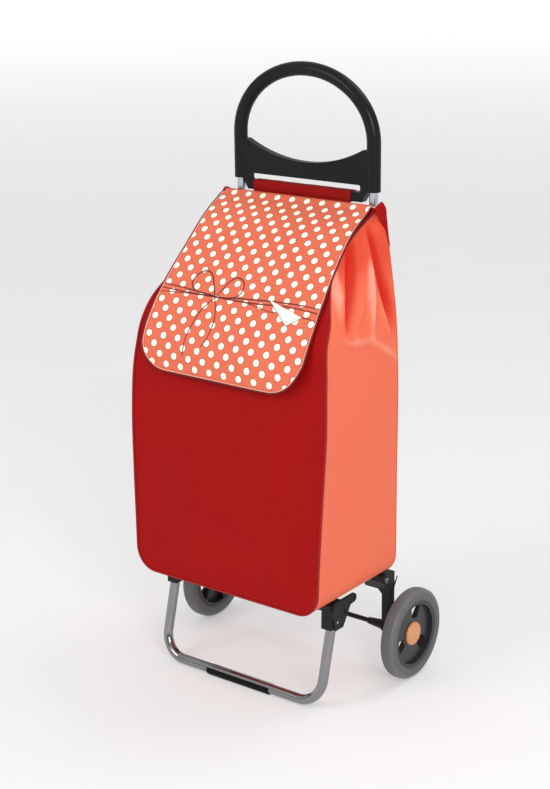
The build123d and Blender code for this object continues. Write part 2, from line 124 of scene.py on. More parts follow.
# heights of the tail's top and bottom
TAIL_HIGH, TAIL_LOW = 769, 731


def to_row(points):
    """Millimetres in the drawing frame to metres in the row frame: (p + (0, AXLE_Y, 0)) / 1000."""
    return (np.asarray(points, float) + (0.0, AXLE_Y, 0.0)) / 1000.0


def hermite(knots, values, at):
    """A smooth curve through values at knots: on each span the cubic whose slopes at its two ends
    are the values' central differences."""
    k, v, t = np.asarray(knots, float), np.asarray(values, float), np.asarray(at, float)
    slope = np.gradient(v, k, axis=0)
    i = np.clip(np.searchsorted(k, t, side="right") - 1, 0, len(k) - 2)
    span = k[i + 1] - k[i]
    s = np.clip((t - k[i]) / span, 0, 1)
    if v.ndim > 1:
        s, span = s[..., None], span[..., None]
    rise, fall = s * s * (3 - 2 * s), s * (1 - s)
    return (1 - rise) * v[i] + rise * v[i + 1] + span * fall * ((1 - s) * slope[i] - s * slope[i + 1])


def smooth_path(points, count):
    """Points evenly spread along the smooth curve through the given ones, knotted by chord
    length."""
    p = np.asarray(points, float)
    knots = np.r_[0, np.cumsum(np.linalg.norm(np.diff(p, axis=0), axis=1))]
    return hermite(knots, p, np.linspace(0, knots[-1], count))


def ease(x, low, high):
    """0 below low, 1 above high, and a smooth 3x^2 - 2x^3 between them."""
    t = np.clip((x - low) / (high - low), 0, 1)
    return t * t * (3 - 2 * t)


def bag_half(z):
    """Half the bag's width at a height: the round corner's quarter circle low down, then the sides'
    line."""
    side = hermite(*zip(*WIDTHS), z)
    drop = np.clip(BAG_LOW + BAG_CORNER - z, 0, BAG_CORNER)
    return side - BAG_CORNER + np.sqrt(BAG_CORNER**2 - drop**2)


def bag_front(z):
    """Depth of the bag's front face at a height, and above it of the sloping mouth."""
    return hermite(*zip(*DEPTHS), z)


def tuck(y, z):
    """How far the side's rim is drawn in under the flap: most at the mouth's line, fading over a
    short depth."""
    drawn = hermite(*zip(*TUCKS), z)
    return drawn * np.exp(-(((y - bag_front(z)) / 22.0) ** 2))


def ridge(y, z, path, width, height):
    """Height of a rounded fold at (y, z): height * exp(-(distance to the path / width)^2). Each
    path point is (y, z, share of the height there)."""
    nearest = np.full(np.shape(y), 1e9)
    share = np.zeros(np.shape(y))
    for (y0, z0, a0), (y1, z1, a1) in zip(path[:-1], path[1:]):
        run = np.array([y1 - y0, z1 - z0], float)
        t = np.clip(((y - y0) * run[0] + (z - z0) * run[1]) / (run @ run), 0, 1)
        gap = np.hypot(y - y0 - t * run[0], z - z0 - t * run[1])
        closer = gap < nearest
        nearest = np.where(closer, gap, nearest)
        share = np.where(closer, a0 + t * (a1 - a0), share)
    return height * share * np.exp(-((nearest / width) ** 2))


# (path, width, height) of the folds where the side panel is gathered under the mouth
SIDE_FOLDS = (
    (((-70, 728, 0.5), (-84, 704, 0.9), (-101, 672, 1), (-119, 638, 1), (-128, 606, 0.5)), 12, -19),
    (((-104, 716, 0.3), (-118, 692, 1), (-135, 657, 1), (-152, 627, 0.4)), 10, 9),
    (((-66, 702, 0.4), (-70, 680, 0.9), (-75, 640, 1), (-78, 590, 0.4)), 9, 11),
    (((-84, 660, 0.2), (-102, 629, 0.8), (-122, 596, 0.9)), 8, 6),
    (((-58, 655, 0.2), (-48, 618, 0.8), (-33, 580, 0.9)), 8, 6),
    (((-38, 741, 0.6), (-37, 703, 1), (-31, 664, 1), (-25, 625, 0.9), (-18, 578, 0.3)), 13, -17),
    (((-172, 600, 0.4), (-129, 585, 0.9), (-84, 580, 0.8), (-46, 557, 1), (-11, 536, 0.8)), 9, 6),
)


def fold_relief(y, z):
    """Sum of the folds of the side panel at (y, z), before its seams hold it back."""
    return sum(ridge(y, z, *fold) for fold in SIDE_FOLDS)


def side_relief(y, z):
    """How far the side panel stands out from its plane: the folds, a slight belly, and none at its
    seams."""
    relief = fold_relief(y, z)
    depth = np.clip((y - bag_front(z)) / np.maximum(BAG_BACK_Y - bag_front(z), 1e-6), 0, 1)
    belly = 3.5 * np.sin(math.pi * depth) * ease(z, BAG_LOW + 20, 330) * (1 - ease(z, 480, 620))
    ripple = 0.5 * np.sin(y / 19 + z / 47) * np.sin(z / 33 - 0.7)
    front_seam = ease(z, 600, 680) + (1 - ease(z, 600, 680)) * ease(depth, 0, 0.12)
    rim = 1 - ease(z, 600, 640) * (1 - ease(y - bag_front(z), 2, 34))
    return (relief + belly + ripple) * front_seam * rim * ease(1 - depth, 0, 0.10)


# the camera: azimuth, height and roll in degrees, its place in the row frame's metres, and its lens
CAMERA_TURN = (37.43, 17.11, -0.66)
CAMERA_PLACE = (1.5174, -1.9930, 1.2316)
CAMERA_LENS, CAMERA_SENSOR = 75.37, 36.0

# (sine of the height above the horizon, brightness) of the sky
SKY = ((0.0, 0.98), (0.16, 0.98), (0.20, 0.13), (0.26, 0.165), (0.38, 0.74), (0.9, 0.82))
SKY_STRENGTH = 0.95


# ---- meshes


def mesh_piece(name, points, faces, uv=None):
    """A smooth-shaded mesh object at the origin from row-frame points, quads or polygons, and one
    (u, v) for each point."""
    mesh = bpy.data.meshes.new(name)
    mesh.from_pydata(points, [], faces)
    if uv is not None:
        corner = np.zeros(len(mesh.loops), np.int32)
        mesh.loops.foreach_get("vertex_index", corner)
        layer = mesh.uv_layers.new(name="UVMap")
        layer.data.foreach_set("uv", np.asarray(uv, np.float32)[corner].ravel())
    mesh.polygons.foreach_set("use_smooth", np.ones(len(mesh.polygons), bool))
    mesh.update()
    piece = bpy.data.objects.new(name, mesh)
    bpy.context.scene.collection.objects.link(piece)
    return piece


def grid_faces(rows, columns, around=False):
    """The quads of a rows by columns grid of points, closed across its columns if around."""
    across = columns if around else columns - 1
    i, j = np.meshgrid(np.arange(rows - 1), np.arange(across), indexing="ij")
    k = (j + 1) % columns
    low, high = i * columns, (i + 1) * columns
    return np.stack([low + j, low + k, high + k, high + j], -1).reshape(-1, 4)


def cloth_grid(name, points, uv, inside, thick=CLOTH, around=False):
    """A sheet from a grid of drawing-frame points, closed across its columns if around. Its faces
    are turned away from the point inside, and its thickness is laid inwards from them."""
    flat = points.reshape(-1, 3)
    quads = grid_faces(*points.shape[:2], around)
    a, b, c, d = (flat[quads[:, k]] for k in range(4))
    normal = np.cross(c - a, d - b)
    if np.sum(normal * ((a + c) / 2 - np.asarray(inside, float))) < 0:
        quads = quads[:, ::-1]
    piece = mesh_piece(name, to_row(flat), quads.tolist(), np.asarray(uv).reshape(-1, 2) / 1000)
    wall = piece.modifiers.new("thickness", "SOLIDIFY")
    wall.thickness = thick
    wall.offset = -1.0
    wall.use_rim = True
    return piece


def mark(piece, name, values):
    """Keeps one number for each point of a piece, for its finish to read."""
    layer = piece.data.attributes.new(name, "FLOAT", "POINT")
    layer.data.foreach_set("value", np.asarray(values, np.float32))


def tube_piece(name, path, radius, sides=10):
    """A round section carried along a path: path point + radius * (cos * side + sin * up), where
    side and up are square to the path. Its ends get a flat cap."""
    p = np.asarray(path, float)
    ahead = np.gradient(p, axis=0)
    ahead /= np.linalg.norm(ahead, axis=1)[:, None]
    side = np.cross(ahead, (0.31, 0.17, 0.93))
    up = np.zeros_like(p)
    last = side[0] / np.linalg.norm(side[0])
    for k, forward in enumerate(ahead):
        last = last - (last @ forward) * forward
        last /= np.linalg.norm(last)
        side[k], up[k] = last, np.cross(forward, last)
    turn = np.linspace(0, 2 * math.pi, sides, endpoint=False)
    cos, sin = np.cos(turn)[None, :, None], np.sin(turn)[None, :, None]
    points = p[:, None] + radius * (cos * side[:, None] + sin * up[:, None])
    faces = grid_faces(len(p), sides, around=True).tolist()
    faces += [list(range(sides))[::-1], list(range((len(p) - 1) * sides, len(p) * sides))]
    length = np.r_[0, np.cumsum(np.linalg.norm(np.diff(p, axis=0), axis=1))]
    uv = np.stack(np.broadcast_arrays(length[:, None] / 1000, turn[None] * radius / 1000), -1)
    return mesh_piece(name, to_row(points.reshape(-1, 3)), [f[::-1] for f in faces], uv.reshape(-1, 2))


# ---- materials


class Finish:
    """A material being wired: a Principled shader with helpers for the nodes in front of it."""

    def __init__(self, name, **constants):
        self.material = bpy.data.materials.new(name)
        self.material.use_nodes = True
        self.tree = self.material.node_tree
        self.shader = self.tree.nodes["Principled BSDF"]
        for socket, value in constants.items():
            self.shader.inputs[socket.replace("_", " ")].default_value = value

    def node(self, kind, *inputs, **settings):
        """Adds a node. Inputs are sockets to link or constants, in the order of the node's own
        inputs."""
        made = self.tree.nodes.new(kind)
        for key, value in settings.items():
            setattr(made, key, value)
        for k, value in enumerate(inputs):
            if isinstance(value, bpy.types.NodeSocket):
                self.tree.links.new(value, made.inputs[k])
            elif value is not None:
                made.inputs[k].default_value = value
        return made

    def math(self, operation, *inputs):
        return self.node("ShaderNodeMath", *inputs, operation=operation).outputs[0]

    def reach(self, a, b):
        """sqrt(a^2 + b^2) of two sockets."""
        squares = [self.math("POWER", side, 2.0) for side in (a, b)]
        return self.math("SQRT", self.math("ADD", *squares))

    def place(self, use_uv=False):
        return self.node("ShaderNodeTexCoord").outputs["UV" if use_uv else "Object"]

    def noise(self, place, scale, detail=3.0, stretch=(1, 1, 1)):
        """Noise between 0 and 1, with scale in cycles per metre."""
        spread = self.node("ShaderNodeMapping", place)
        spread.inputs["Scale"].default_value = stretch
        made = self.node("ShaderNodeTexNoise")
        self.tree.links.new(spread.outputs[0], made.inputs["Vector"])
        made.inputs["Scale"].default_value = scale
        made.inputs["Detail"].default_value = detail
        return made.outputs[0]

    def between(self, factor, low, high):
        """The factor moved to the range low..high."""
        return self.math("MULTIPLY_ADD", factor, high - low, low)

    def blend(self, factor, one, two):
        """A colour between two colours, which are sockets or (r, g, b)."""
        mix = self.node("ShaderNodeMix", data_type="RGBA")
        self.tree.links.new(factor, mix.inputs["Factor"])
        for socket, value in ((mix.inputs[6], one), (mix.inputs[7], two)):
            if isinstance(value, bpy.types.NodeSocket):
                self.tree.links.new(value, socket)
            else:
                socket.default_value = (*value, 1.0)
        return mix.outputs[2]

    def wire(self, colour=None, rough=None, height=None, bump=0.4, depth=0.0003):
        """Links what is given to the shader: a colour, a roughness and a bump height."""
        if colour is not None:
            self.tree.links.new(colour, self.shader.inputs["Base Color"])
        if rough is not None:
            self.tree.links.new(rough, self.shader.inputs["Roughness"])
        if height is not None:
            made = self.node("ShaderNodeBump")
            made.inputs["Strength"].default_value = bump
            made.inputs["Distance"].default_value = depth
            self.tree.links.new(height, made.inputs["Height"])
            self.tree.links.new(made.outputs[0], self.shader.inputs["Normal"])
        return self.material


def weave_height(finish, place, pitch):
    """Plain weave: |sin| of the two thread directions, each raised where the other dips. Pitch in
    metres."""
    parts = finish.node("ShaderNodeSeparateXYZ", place)
    turns = math.pi / pitch
    u = finish.math("SINE", finish.math("MULTIPLY", parts.outputs[0], turns))
    v = finish.math("SINE", finish.math("MULTIPLY", parts.outputs[1], turns))
    return finish.math("MULTIPLY", u, v)


def cloth_finish(
    name, light, dark, rough=(0.42, 0.58), pitch=0.0009, painted_shade=None, painted_highlight=None, gloss=0.22
):
    """Coated woven cloth: slow colour drift, threads in the colour, a fine weave and soft rumples.
    With a painted shade and a painted highlight colour, the colour is painted darker as shade down in
    the folds and paler as a highlight on their crests."""
    f = Finish(name, Specular_IOR_Level=gloss)
    place = f.place(use_uv=True)
    weave = weave_height(f, place, pitch)
    drift = f.noise(f.place(), 9.0, 4.0)
    thread = f.noise(place, 260.0, 2.0, (1, 0.12, 1))
    tone = f.math("ADD", f.math("MULTIPLY", drift, 0.75), f.math("MULTIPLY", thread, 0.25))
    rumple = f.noise(f.place(), 38.0, 3.0)
    height = f.math("MULTIPLY_ADD", weave, 0.12, f.math("MULTIPLY", rumple, 1.6))
    colour = f.blend(tone, dark, light)
    # painted shade and painted highlight: colours mixed in by the piece's point attributes of those
    # names
    for mask, tint in (("painted_shade", painted_shade), ("painted_highlight", painted_highlight)):
        if tint:
            share = f.node("ShaderNodeAttribute", attribute_name=mask).outputs["Fac"]
            colour = f.blend(share, colour, tint)
    return f.wire(colour, f.between(drift, *rough), height, 0.35, 0.0006)


def print_finish(name):
    """The flap's printed cloth: cream dots with a thin brown ring on coral, staggered row by row. A
    point's place in its dot's cell comes from the two steps of the pattern, and the dot is where it
    is near the middle."""
    f = Finish(name, Specular_IOR_Level=0.2)
    place = f.place(use_uv=True)
    parts = f.node("ShaderNodeSeparateXYZ", place)
    steps = np.array([DOT_STEP, ROW_STEP]).T / 1000
    back = np.linalg.inv(steps)
    start = back @ (np.array(DOT_START) / 1000)
    inside = []
    for k in range(2):
        down = f.math("MULTIPLY", parts.outputs[1], back[k, 1])
        along = f.math("MULTIPLY_ADD", parts.outputs[0], back[k, 0], down)
        shifted = f.math("ADD", along, 0.5 - start[k] + WHOLE_STEPS)
        inside.append(f.math("SUBTRACT", f.math("FRACT", shifted), 0.5))
    off = []
    for k in range(2):
        down = f.math("MULTIPLY", inside[1], steps[k, 1])
        off.append(f.math("MULTIPLY_ADD", inside[0], steps[k, 0], down))
    uneven = f.noise(place, 160.0, 2.0)
    gap = f.math("MULTIPLY_ADD", uneven, 0.0006, f.reach(*off))
    edge = DOT_R / 1000 + DOT_BLUR
    dot, rim = (
        f.node("ShaderNodeMapRange", gap, full, gone, 1.0, 0.0, clamp=True).outputs[0]
        for full, gone in ((edge - DOT_BLUR, edge), (edge + RING_FADE[0], edge + RING_FADE[1]))
    )
    drift = f.noise(f.place(), 10.0, 3.0)
    ground = f.blend(drift, (0.65, 0.122, 0.060), (0.76, 0.160, 0.085))
    ringed = f.blend(rim, ground, (0.26, 0.07, 0.04))
    colour = f.blend(dot, ringed, (0.92, 0.86, 0.72))
    weave = weave_height(f, place, 0.0008)
    height = f.math("MULTIPLY_ADD", weave, 0.12, f.noise(f.place(), 40.0))
    return f.wire(colour, f.between(drift, 0.45, 0.58), height, 0.3, 0.0005)


def moulded_finish(name, light, dark, rough, grain=1400.0, relief=0.00005, **constants):
    """Moulded plastic or rubber: a fine even grain, slow drift of tone and worn, shinier
    patches."""
    f = Finish(name, **constants)
    place = f.place()
    patch = f.noise(place, 22.0, 4.0)
    fine = f.noise(place, grain, 2.0)
    tone = f.math("ADD", f.math("MULTIPLY", patch, 0.7), f.math("MULTIPLY", fine, 0.3))
    return f.wire(f.blend(tone, dark, light), f.between(patch, *rough), fine, 0.3, relief)


def metal_finish(name, light, dark, rough, streak=(1, 1, 0.04), relief=0.00002):
    """Plated or zinc-coated tube: drawn streaks along it and faint cloudy patches in its shine."""
    f = Finish(name, Metallic=1.0)
    place = f.place()
    cloud = f.noise(place, 30.0, 4.0)
    drawn = f.noise(place, 900.0, 2.0, streak)
    tone = f.math("ADD", f.math("MULTIPLY", cloud, 0.5), f.math("MULTIPLY", drawn, 0.5))
    return f.wire(f.blend(tone, dark, light), f.between(tone, *rough), drawn, 0.15, relief)


def rubber_finish(name):
    """Grey tyre rubber: mould lines round the tread, rings on the side walls that follow
    sin(radius), a painted highlight that makes the shoulder paler, a dusty bloom and a fine scuffed
    grain."""
    f = Finish(name, Specular_IOR_Level=0.45)
    place = f.place()
    dust = f.noise(place, 45.0, 4.0)
    scuff = f.noise(place, 700.0, 3.0)
    parts = f.node("ShaderNodeSeparateXYZ", place)
    line = f.math("SINE", f.math("MULTIPLY", parts.outputs[0], TREAD_LINES))
    middle = ((1, AXLE_Y / 1000), (2, AXLE_Z / 1000))
    radius = f.reach(*(f.math("SUBTRACT", parts.outputs[k], at) for k, at in middle))
    ring = f.math("SINE", f.math("MULTIPLY", radius, WALL_RINGS))
    height = f.math("MULTIPLY_ADD", line, 0.5, f.math("MULTIPLY_ADD", ring, 0.9, scuff))
    tone = f.math("ADD", f.math("MULTIPLY", dust, 0.6), f.math("MULTIPLY", scuff, 0.4))
    # painted highlight: the rubber is painted paler between the shoulder's radii
    shoulder_highlight = f.node(
        "ShaderNodeMapRange", radius, *SHOULDER, 0.0, 0.28, interpolation_type="SMOOTHSTEP"
    ).outputs[0]
    ringed = f.math("MULTIPLY_ADD", ring, 0.22, tone)
    plain = f.blend(ringed, (0.060, 0.060, 0.062), (0.125, 0.125, 0.128))
    colour = f.blend(shoulder_highlight, plain, (0.24, 0.24, 0.245))
    return f.wire(colour, f.between(dust, 0.36, 0.5), height, 0.5, 0.00025)


RED = cloth_finish("red_cloth", (0.345, 0.004, 0.004), (0.29, 0.003, 0.003), (0.5, 0.64), gloss=0.07)
SLEEVE = cloth_finish("sleeve_red", (0.27, 0.006, 0.004), (0.22, 0.004, 0.003), (0.5, 0.64), gloss=0.07)
CORAL = cloth_finish("coral_cloth", (0.83, 0.165, 0.082), (0.77, 0.14, 0.068))
# the gathered side cloth, with painted shade in the folds' valleys and a painted highlight on their
# crests
GATHERED = cloth_finish(
    "gathered_coral", (0.83, 0.165, 0.082), (0.77, 0.14, 0.068), (0.36, 0.5),
    painted_shade=(0.60, 0.012, 0.003), painted_highlight=(0.90, 0.36, 0.26), gloss=0.14,
)
# the pale colour of the cord along the flap's edge, a painted highlight
PAINTED_EDGE_HIGHLIGHT = cloth_finish("painted_edge_highlight", (0.90, 0.44, 0.34), (0.84, 0.37, 0.28), (0.35, 0.5), 0.0007)
MAROON = cloth_finish("maroon_binding", (0.17, 0.010, 0.012), (0.11, 0.006, 0.008), (0.35, 0.5), 0.0007)
WELT = cloth_finish("red_welt", (0.34, 0.010, 0.010), (0.26, 0.007, 0.008), (0.35, 0.5), 0.0007)
PRINT = print_finish("dotted_print")
TWINE_INK = moulded_finish("twine_ink", (0.20, 0.008, 0.010), (0.13, 0.005, 0.008), (0.5, 0.6))
TAG_INK = moulded_finish("tag_ink", (0.92, 0.91, 0.88), (0.86, 0.85, 0.82), (0.5, 0.6))
TAG_EDGE = moulded_finish("tag_edge_ink", (0.12, 0.10, 0.10), (0.07, 0.06, 0.06), (0.5, 0.6))
THREAD = moulded_finish("sewing_thread", (0.55, 0.06, 0.05), (0.40, 0.03, 0.03), (0.5, 0.7))
HANDLE = moulded_finish(
    "handle_black", (0.012, 0.012, 0.012), (0.006, 0.006, 0.006), (0.24, 0.34),
    Specular_IOR_Level=0.14,
)
BRACKET = moulded_finish(
    "bracket_black", (0.020, 0.020, 0.022), (0.010, 0.010, 0.011), (0.34, 0.46),
    Specular_IOR_Level=0.16,
)
RIM = moulded_finish(
    "rim_grey", (0.030, 0.030, 0.032), (0.018, 0.018, 0.020), (0.30, 0.42),
    Specular_IOR_Level=0.4,
)
CAP = moulded_finish("cap_orange", (0.74, 0.33, 0.15), (0.62, 0.25, 0.10), (0.28, 0.38))
GLIDE = moulded_finish(
    "glide_black", (0.010, 0.009, 0.008), (0.004, 0.004, 0.003), (0.38, 0.55),
    Specular_IOR_Level=0.06,
)
NYLON = moulded_finish("bush_nylon", (0.78, 0.77, 0.72), (0.66, 0.65, 0.60), (0.4, 0.5))
BOARD = moulded_finish(
    "base_board", (0.060, 0.058, 0.056), (0.035, 0.034, 0.033), (0.5, 0.65), 500.0, 0.0001
)
RUBBER = rubber_finish("tyre_rubber")
CHROME = metal_finish("foot_chrome", (0.36, 0.36, 0.37), (0.19, 0.19, 0.20), (0.07, 0.14), (0.04, 1, 1))
ZINC = metal_finish("tube_zinc", (0.58, 0.61, 0.65), (0.42, 0.45, 0.50), (0.24, 0.36))
BRIGHT = metal_finish("bright_steel", (0.66, 0.66, 0.68), (0.48, 0.48, 0.50), (0.22, 0.34))
DARK_STEEL = metal_finish("black_steel", (0.045, 0.045, 0.048), (0.020, 0.020, 0.022), (0.30, 0.42))

CAD_FINISHES = {
    RUBBER: ("tyre_left", "tyre_right"),
    RIM: ("wheel_rim_left", "wheel_rim_right"),
    NYLON: ("wheel_bush_left", "wheel_bush_right"),
    CAP: ("hub_cap_left", "hub_cap_right"),
    DARK_STEEL: ("axle", "stand_rail_left", "stand_rail_right", "stand_crossbar"),
    BRACKET: (
        "axle_spacers", "rear_bracket_left", "rear_bracket_right", "front_bracket_left",
        "front_bracket_right",
    ),
    HANDLE: ("handle_front_shell", "handle_rear_shell"),
    GLIDE: ("foot_glide",),
    CHROME: ("foot_tube",),
    ZINC: ("frame_tube_left", "frame_tube_right", "frame_crossbar"),
    BRIGHT: (
        "axle_end_rings", "pivot_pin_left", "pivot_pin_right", "handle_screws", "tube_screws",
        "leg_pins", "board_rivets", "hem_rod",
    ),
    BOARD: ("base_board",),
    MAROON: ("tube_loops",),
}


def finish_cad_nodes():
    """Gives each carried-over CAD node its finish."""
    for finish, nodes in CAD_FINISHES.items():
        for node in nodes:
            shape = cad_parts[node]
            shape.data.materials.clear()
            shape.data.materials.append(finish)


def dress(piece, finish):
    """Gives the piece its finish."""
    piece.data.materials.append(finish)
    return piece


def folding(piece):
    """Bakes the piece's placement into its mesh."""
    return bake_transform(piece)


# ---- bag


def side_heights():
    """Heights up a side, closer together in the gathered part under the mouth."""
    low, high = BAG_LOW + BAG_CORNER, BAG_TOP - 1.0
    return np.r_[np.linspace(low, 470, 46)[:-1], np.linspace(470, high, 130)]


def gusset_outline():
    """(x, z) down the left side, round the left corner, along the bottom and up the right side."""
    z = side_heights()
    up = np.stack([bag_half(z), z], 1)
    turn = np.linspace(0, math.pi / 2, 13)[1:]
    mid = (BAG_HALF - BAG_CORNER, BAG_LOW + BAG_CORNER)
    corner = np.stack([mid[0] + BAG_CORNER * np.sin(turn), mid[1] - BAG_CORNER * np.cos(turn)], 1)[:-1]
    floor = np.stack([np.linspace(0, mid[0], 24), np.full(24, BAG_LOW)], 1)
    right = np.concatenate([floor, corner, up])
    left = right[:0:-1] * (-1, 1)
    return np.concatenate([left, right])


def gusset():
    """The long strip that makes both sides and the bottom, one shell lofted along the outline:
    depth runs from the front face or the mouth's line back to the back panel, and the relief pushes
    it sideways."""
    outline = gusset_outline()
    x, z = outline[:, 0][:, None], outline[:, 1][:, None]
    share = np.linspace(0, 1, 72)[None]
    y = bag_front(z) * (1 - share) + BAG_BACK_Y * share
    wall = ease(z, BAG_LOW + 4, BAG_LOW + 60)
    relief = side_relief(y, z)
    relief = np.where(x < 0, relief * LEFT_SHARE, relief) * wall
    x = x + np.sign(x) * (relief - tuck(y, z))
    points = np.stack(np.broadcast_arrays(x, y, z + 0 * y), -1)
    length = np.r_[0, np.cumsum(np.linalg.norm(np.diff(outline, axis=0), axis=1))][:, None]
    uv = np.stack(np.broadcast_arrays(length, y), -1)
    piece = cloth_grid("bag_gusset", points, uv, BAG_INSIDE)
    # painted shade in the folds' valleys and across the upper gathered part under the mouth, and a
    # painted highlight on the folds' crests
    fold = fold_relief(y, z)
    upper_shade = ease(z, 630, 700) * (1 - ease(fold, 1, 6))
    mark(piece, "painted_shade", np.maximum(ease(-fold, 1.0, 15.0) * 0.95, 0.55 * upper_shade).ravel())
    mark(piece, "painted_highlight", (ease(fold, 2.0, 9.0) * 0.8).ravel())
    dress(piece, GATHERED)
    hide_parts("bag_side_left", "bag_side_right", "bag_bottom", "bag_bottom_rear")
    return folding(piece)


def front_panel():
    """The front panel: x = share * half width, with a shallow belly and faint slack towards its
    lower edge."""
    turn = np.linspace(0, math.pi / 2, 16)
    corner = BAG_LOW + BAG_CORNER * (1 - np.cos(turn))
    z = np.r_[corner[:-1], np.linspace(BAG_LOW + BAG_CORNER, FRONT_TOP, 110)][:, None]
    share = np.linspace(-1, 1, 90)[None]
    x = share * (bag_half(z) - tuck(bag_front(z), z))
    free = (1 - share**4) * ease(z, BAG_LOW, BAG_LOW + 60) * (1 - 0.8 * ease(z, 480, FRONT_TOP))
    slack = 0.5 * np.sin(x / 31 + 0.4) * np.sin(z / 57) + 0.35 * np.sin(x / 17 - z / 41)
    y = bag_front(z) - free * (3.0 + slack) + 0 * x
    points = np.stack(np.broadcast_arrays(x, y, z), -1)
    uv = np.stack(np.broadcast_arrays(x, z), -1)
    piece = cloth_grid("bag_front_panel", points, uv, BAG_INSIDE)
    dress(piece, RED)
    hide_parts("bag_front")
    return folding(piece)


def back_panel():
    """The flat back panel, drawn in like the sides, with a little slack between the upright
    tubes."""
    turn = np.linspace(0, math.pi / 2, 12)
    corner = BAG_LOW + BAG_CORNER * (1 - np.cos(turn))
    z = np.r_[corner[:-1], np.linspace(BAG_LOW + BAG_CORNER, BAG_TOP, 90)][:, None]
    share = np.linspace(-1, 1, 70)[None]
    x = share * (bag_half(z) - tuck(BAG_BACK_Y, z))
    slack = (1 - share**2) * (0.8 * np.sin(x / 43) * np.sin(z / 61) - 1.2) * (1 - ease(z, 700, 750))
    points = np.stack(np.broadcast_arrays(x, BAG_BACK_Y + slack * 0.6, z), -1)
    uv = np.stack(np.broadcast_arrays(x, z), -1)
    piece = cloth_grid("bag_back_panel", points, uv, BAG_INSIDE)
    dress(piece, RED)
    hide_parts("bag_back")
    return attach(piece, "frame")


def seam_path(height, count_up, y_of, inset):
    """(x, y, z) round a panel's edge, from the top left down, round the corners and up to the top
    right."""
    z_up = np.linspace(BAG_LOW + BAG_CORNER, height, count_up)
    drawn = tuck(y_of(z_up), z_up)
    up = np.stack([bag_half(z_up) - drawn - inset, z_up], 1)
    turn = np.linspace(0, math.pi / 2, 12)[1:-1]
    r = BAG_CORNER - inset
    mid = (BAG_HALF - BAG_CORNER, BAG_LOW + BAG_CORNER)
    arc = np.stack([mid[0] + r * np.sin(turn), mid[1] - r * np.cos(turn)], 1)
    floor = np.stack([np.linspace(0, mid[0], 20), np.full(20, BAG_LOW + inset)], 1)
    right = np.concatenate([floor, arc, up])
    xz = np.concatenate([right[:0:-1] * (-1, 1), right])
    return np.stack([xz[:, 0], y_of(xz[:, 1]), xz[:, 1]], 1)


def bag_trim():
    """Piping round the front and back panels, and the binding round the mouth."""
    line = seam_path(FRONT_TOP, 90, lambda z: bag_front(z) - 0.6, 1.0)
    front = tube_piece("front_piping", line, 1.7)
    dress(front, WELT)
    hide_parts("bag_piping")
    folding(front)
    line = seam_path(BAG_TOP - 4, 70, lambda z: BAG_BACK_Y + 0 * z, 1.2)
    back = tube_piece("back_piping", line, 1.7, 8)
    dress(back, CORAL)
    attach(back, "frame")
    z = np.linspace(FRONT_TOP, BAG_TOP - 1, 60)
    relief = side_relief(bag_front(z), z)
    half = bag_half(z) - tuck(bag_front(z), z) - 0.7
    edge = np.stack([half + relief, bag_front(z) + 0.3, z], 1)
    left = np.stack([-(half + LEFT_SHARE * relief), bag_front(z) + 0.3, z], 1)
    middle = (0, bag_front(FRONT_TOP) + 0.3, FRONT_TOP)
    across = np.linspace(-1, 1, 40)[1:-1, None] * (half[0], 0, 0) + middle
    mouth = tube_piece("mouth_binding", np.concatenate([left[::-1], across, edge]), 1.8, 8)
    dress(mouth, MAROON)
    folding(mouth)


# (outer line, front lip) of the hood over each rear top corner of the bag
RIGHT_HOOD = (
    (
        (124, -26, 749), (131, -18, 755), (138.5, -9, 762.5), (148, -8, 774.5),
        (155, -8, 767), (157.5, -8, 752), (160, -8, 732), (164, -8.5, 708),
    ),
    (
        (126, -46, 737), (132, -38, 744.5), (138, -30, 752), (144.5, -25, 764.5),
        (149.5, -23, 760), (153.5, -20, 747), (158.5, -14, 729), (163.5, -9.5, 707),
    ),
)
LEFT_HOOD = (
    (
        (-136, -8, 758), (-143, -8, 766), (-149, -8, 768.5), (-156, -8, 768),
        (-161, -8, 761), (-162, -8, 750), (-163, -8, 732), (-165, -8.5, 708),
    ),
    (
        (-136, -10, 755), (-143, -10.5, 762), (-149, -10, 764), (-155, -11, 763),
        (-159, -13, 755), (-160, -15, 746), (-162, -12, 729), (-164.5, -9.5, 707),
    ),
)


def corner_hood(name, lines):
    """The red cloth gathered over a rear top corner: a strip between an outer line and a front lip,
    raised between them by sin(pi * b), with a few radial pleats that follow sin along it."""
    outer, lip = (smooth_path(line, 80)[:, None] for line in lines)
    b = np.linspace(0, 1, 18)[None, :, None]
    a = np.linspace(0, 1, 80)[:, None, None]
    size = np.linalg.norm(lip - outer, axis=2, keepdims=True)
    away = np.array([np.sign(lines[0][3][0]) * 0.75, -0.15, 0.64])
    rise = np.sin(math.pi * b) * size * (0.24 + 0.07 * np.sin(a * 34) + 0.04 * np.sin(a * 61 + 3 * b))
    points = outer * (1 - b) + lip * b + rise * away
    uv = np.stack(np.broadcast_arrays(a[..., 0] * 120, b[..., 0] * 20), -1)
    piece = cloth_grid(name, points, uv, HOOD_INSIDE, THIN_CLOTH)
    dress(piece, RED)
    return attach(piece, "frame")


# ---- flap


FLAP_PATH = smooth_path(FLAP_LINE, 600)
FLAP_RUN = np.r_[0, np.cumsum(np.linalg.norm(np.diff(FLAP_PATH, axis=0), axis=1))]
FLAP_LENGTH = FLAP_RUN[-1]


def flap_edge(run, side, corner):
    """x of one edge of the flap at a distance from its hinge, with a quarter circle at the hem."""
    drop = np.clip(run - (FLAP_LENGTH - corner), 0, corner)
    inset = corner - np.sqrt(np.maximum(corner**2 - drop**2, 0))
    line = hermite(*zip(*side), run)
    return line - np.sign(line) * inset


def flap_profile(run):
    """y and z of the flap's profile at a distance from its hinge."""
    return np.interp(run, FLAP_RUN, FLAP_PATH[:, 0]), np.interp(run, FLAP_RUN, FLAP_PATH[:, 1])


